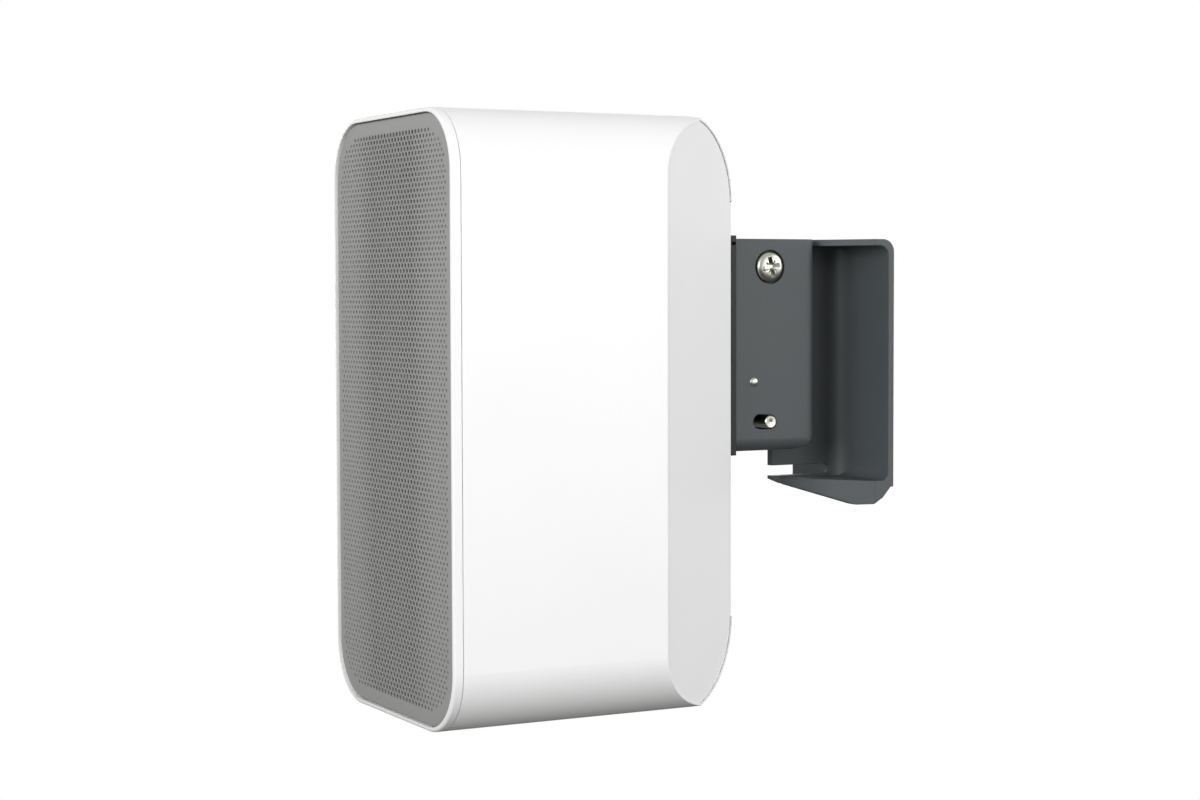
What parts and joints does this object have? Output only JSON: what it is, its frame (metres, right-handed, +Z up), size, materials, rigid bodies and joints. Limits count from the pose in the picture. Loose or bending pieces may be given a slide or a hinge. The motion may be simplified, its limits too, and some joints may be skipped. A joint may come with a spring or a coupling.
{
  "type": "loudspeaker",
  "caption": "Upright white loudspeaker with a grey perforated front, held off the wall by a tilting anthracite steel bracket.",
  "frame": {"origin": "on the wall face of the bracket's flange, level with the middle of the cabinet and in the plane of the fin", "axes": "+Y points into the wall, +Z up, +X to the right of a person who faces the grille's side from the room"},
  "size_m": [0.134, 0.2405, 0.268],
  "materials": {
    "white_abs": "white, satin moulded",
    "grey_abs": "light grey, fine textured",
    "grille_steel": "grey powder coat, perforated",
    "black_abs": "black moulded",
    "foam": "closed cell foam",
    "zinc_steel": "bright zinc",
    "cast_frame": "black painted",
    "rubber_roll": "matt black",
    "paper_cone": "coated fibre",
    "spider_cloth": "impregnated cloth",
    "copper_coil": "enamelled copper",
    "raw_steel": "plain steel",
    "ferrite": "sintered ferrite",
    "silk_dome": "coated silk",
    "circuit_board": "green solder mask",
    "black_aluminium": "black anodised",
    "transformer_tape": "yellow tape",
    "socket_shell": "tinned shell",
    "brass_insert": "turned brass",
    "pad_rubber": "black rubber",
    "black_steel": "black coat",
    "coated_steel": "anthracite fine powder coat",
    "nylon": "natural nylon"
  },
  "bodies": {
    "wall_side": {"wall_bracket": "coated_steel", "limit_pin": "zinc_steel"},
    "speaker": {"front_bezel": "white_abs", "grille": "grille_steel", "cabinet_sleeve": "white_abs", "rear_cover": "grey_abs", "front_baffle": "black_abs", "baffle_gasket": "foam", "baffle_screws": "zinc_steel", "woofer_basket": "cast_frame", "woofer_surround": "rubber_roll", "woofer_cone": "paper_cone", "woofer_dust_cap": "paper_cone", "woofer_spider": "spider_cloth", "woofer_voice_coil": "copper_coil", "woofer_top_plate": "raw_steel", "woofer_magnet": "ferrite", "woofer_yoke": "raw_steel", "woofer_screws": "zinc_steel", "tweeter_faceplate": "black_abs", "tweeter_dome": "silk_dome", "tweeter_magnet": "raw_steel", "tweeter_screws": "zinc_steel", "bass_port": "black_abs", "io_board": "circuit_board", "amplifier_board": "circuit_board", "amplifier_heatsink": "black_aluminium", "power_board": "circuit_board", "power_transformer": "transformer_tape", "mains_inlet": "black_abs", "lan_socket": "socket_shell", "audio_socket": "black_abs", "board_screws": "zinc_steel", "thread_inserts": "brass_insert", "rear_screws": "zinc_steel", "bracket_screws": "black_steel", "mounting_pad": "pad_rubber", "speaker_plate": "black_steel", "arm_rivets": "zinc_steel", "tilt_arm": "coated_steel", "pivot_screw": "zinc_steel", "pivot_bushes": "nylon", "pivot_washer": "zinc_steel", "pivot_nut": "zinc_steel"},
    "button": {"setup_button": "white_abs"}
  },
  "joints": [
    {"name": "tilt", "type": "hinge", "parent": "wall_side", "child": "speaker", "pos_m": [0, -0.0585, 0.0664], "axis": [1, 0, 0], "range_deg": [0, 4.5]},
    {"name": "button_press", "type": "slide", "parent": "speaker", "child": "button", "axis": [0, -1, 0], "range_m": [0, 0.0008], "stiffness_N_per_m": 500, "springref_m": -0.0006}
  ]
}
